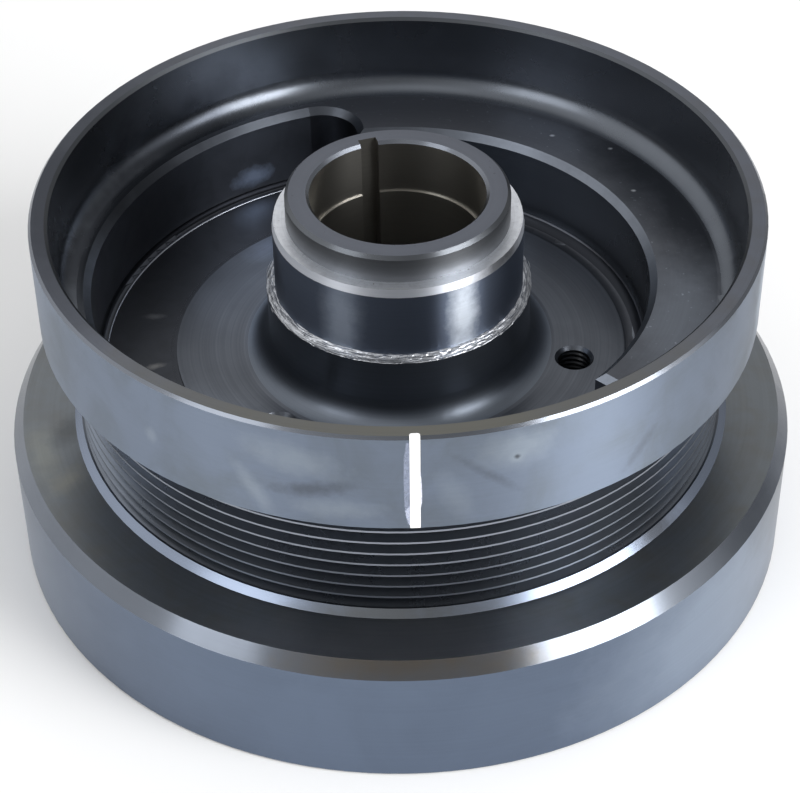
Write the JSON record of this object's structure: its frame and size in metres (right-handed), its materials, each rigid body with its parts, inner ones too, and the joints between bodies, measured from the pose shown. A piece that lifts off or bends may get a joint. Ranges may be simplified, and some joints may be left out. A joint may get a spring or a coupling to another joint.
{
  "type": "harmonic balancer",
  "caption": "Turned steel harmonic balancer with a keyed hub and seal journal, ribbed belt grooves, an off-centre counterweight pocket and a sealed damper housing.",
  "frame": {"origin": "on the crank axis, in the plane of the lower ring's foot", "axes": "+Z along the crank axis towards the engine; -Y towards the camera, close to the timing mark; +X to the right in the picture"},
  "size_m": [0.2082, 0.2082, 0.1021],
  "materials": {
    "billet_steel": "turned, with light stains and handling marks",
    "cover_steel": "ground",
    "inertia_steel": "turned",
    "fastener_steel": "black oxide",
    "bronze": "bored",
    "copper": "soft copper",
    "seal_rubber": "moulded",
    "washer_plastic": "moulded",
    "mark_paint": "white filler"
  },
  "bodies": {
    "damper": {"damper_body": "billet_steel", "timing_mark": "mark_paint", "housing_cover": "cover_steel", "seal_ring_outer": "seal_rubber", "seal_ring_inner": "seal_rubber", "outer_screw_1": "fastener_steel", "outer_screw_2": "fastener_steel", "outer_screw_3": "fastener_steel", "outer_screw_4": "fastener_steel", "outer_screw_5": "fastener_steel", "outer_screw_6": "fastener_steel", "outer_screw_7": "fastener_steel", "outer_screw_8": "fastener_steel", "outer_screw_9": "fastener_steel", "outer_screw_10": "fastener_steel", "outer_screw_11": "fastener_steel", "outer_screw_12": "fastener_steel", "inner_screw_1": "fastener_steel", "inner_screw_2": "fastener_steel", "inner_screw_3": "fastener_steel", "inner_screw_4": "fastener_steel", "inner_screw_5": "fastener_steel", "inner_screw_6": "fastener_steel", "fill_plug_1": "fastener_steel", "fill_plug_2": "fastener_steel", "plug_washer_1": "copper", "plug_washer_2": "copper"},
    "inertia": {"inertia_ring": "inertia_steel", "bearing_bush": "bronze", "thrust_washer_upper": "washer_plastic", "thrust_washer_lower": "washer_plastic"}
  },
  "joints": [
    {"name": "inertia_spin", "type": "hinge", "parent": "damper", "child": "inertia", "pos_m": [0, 0, 0.01925], "axis": [0, 0, 1], "continuous": true}
  ]
}
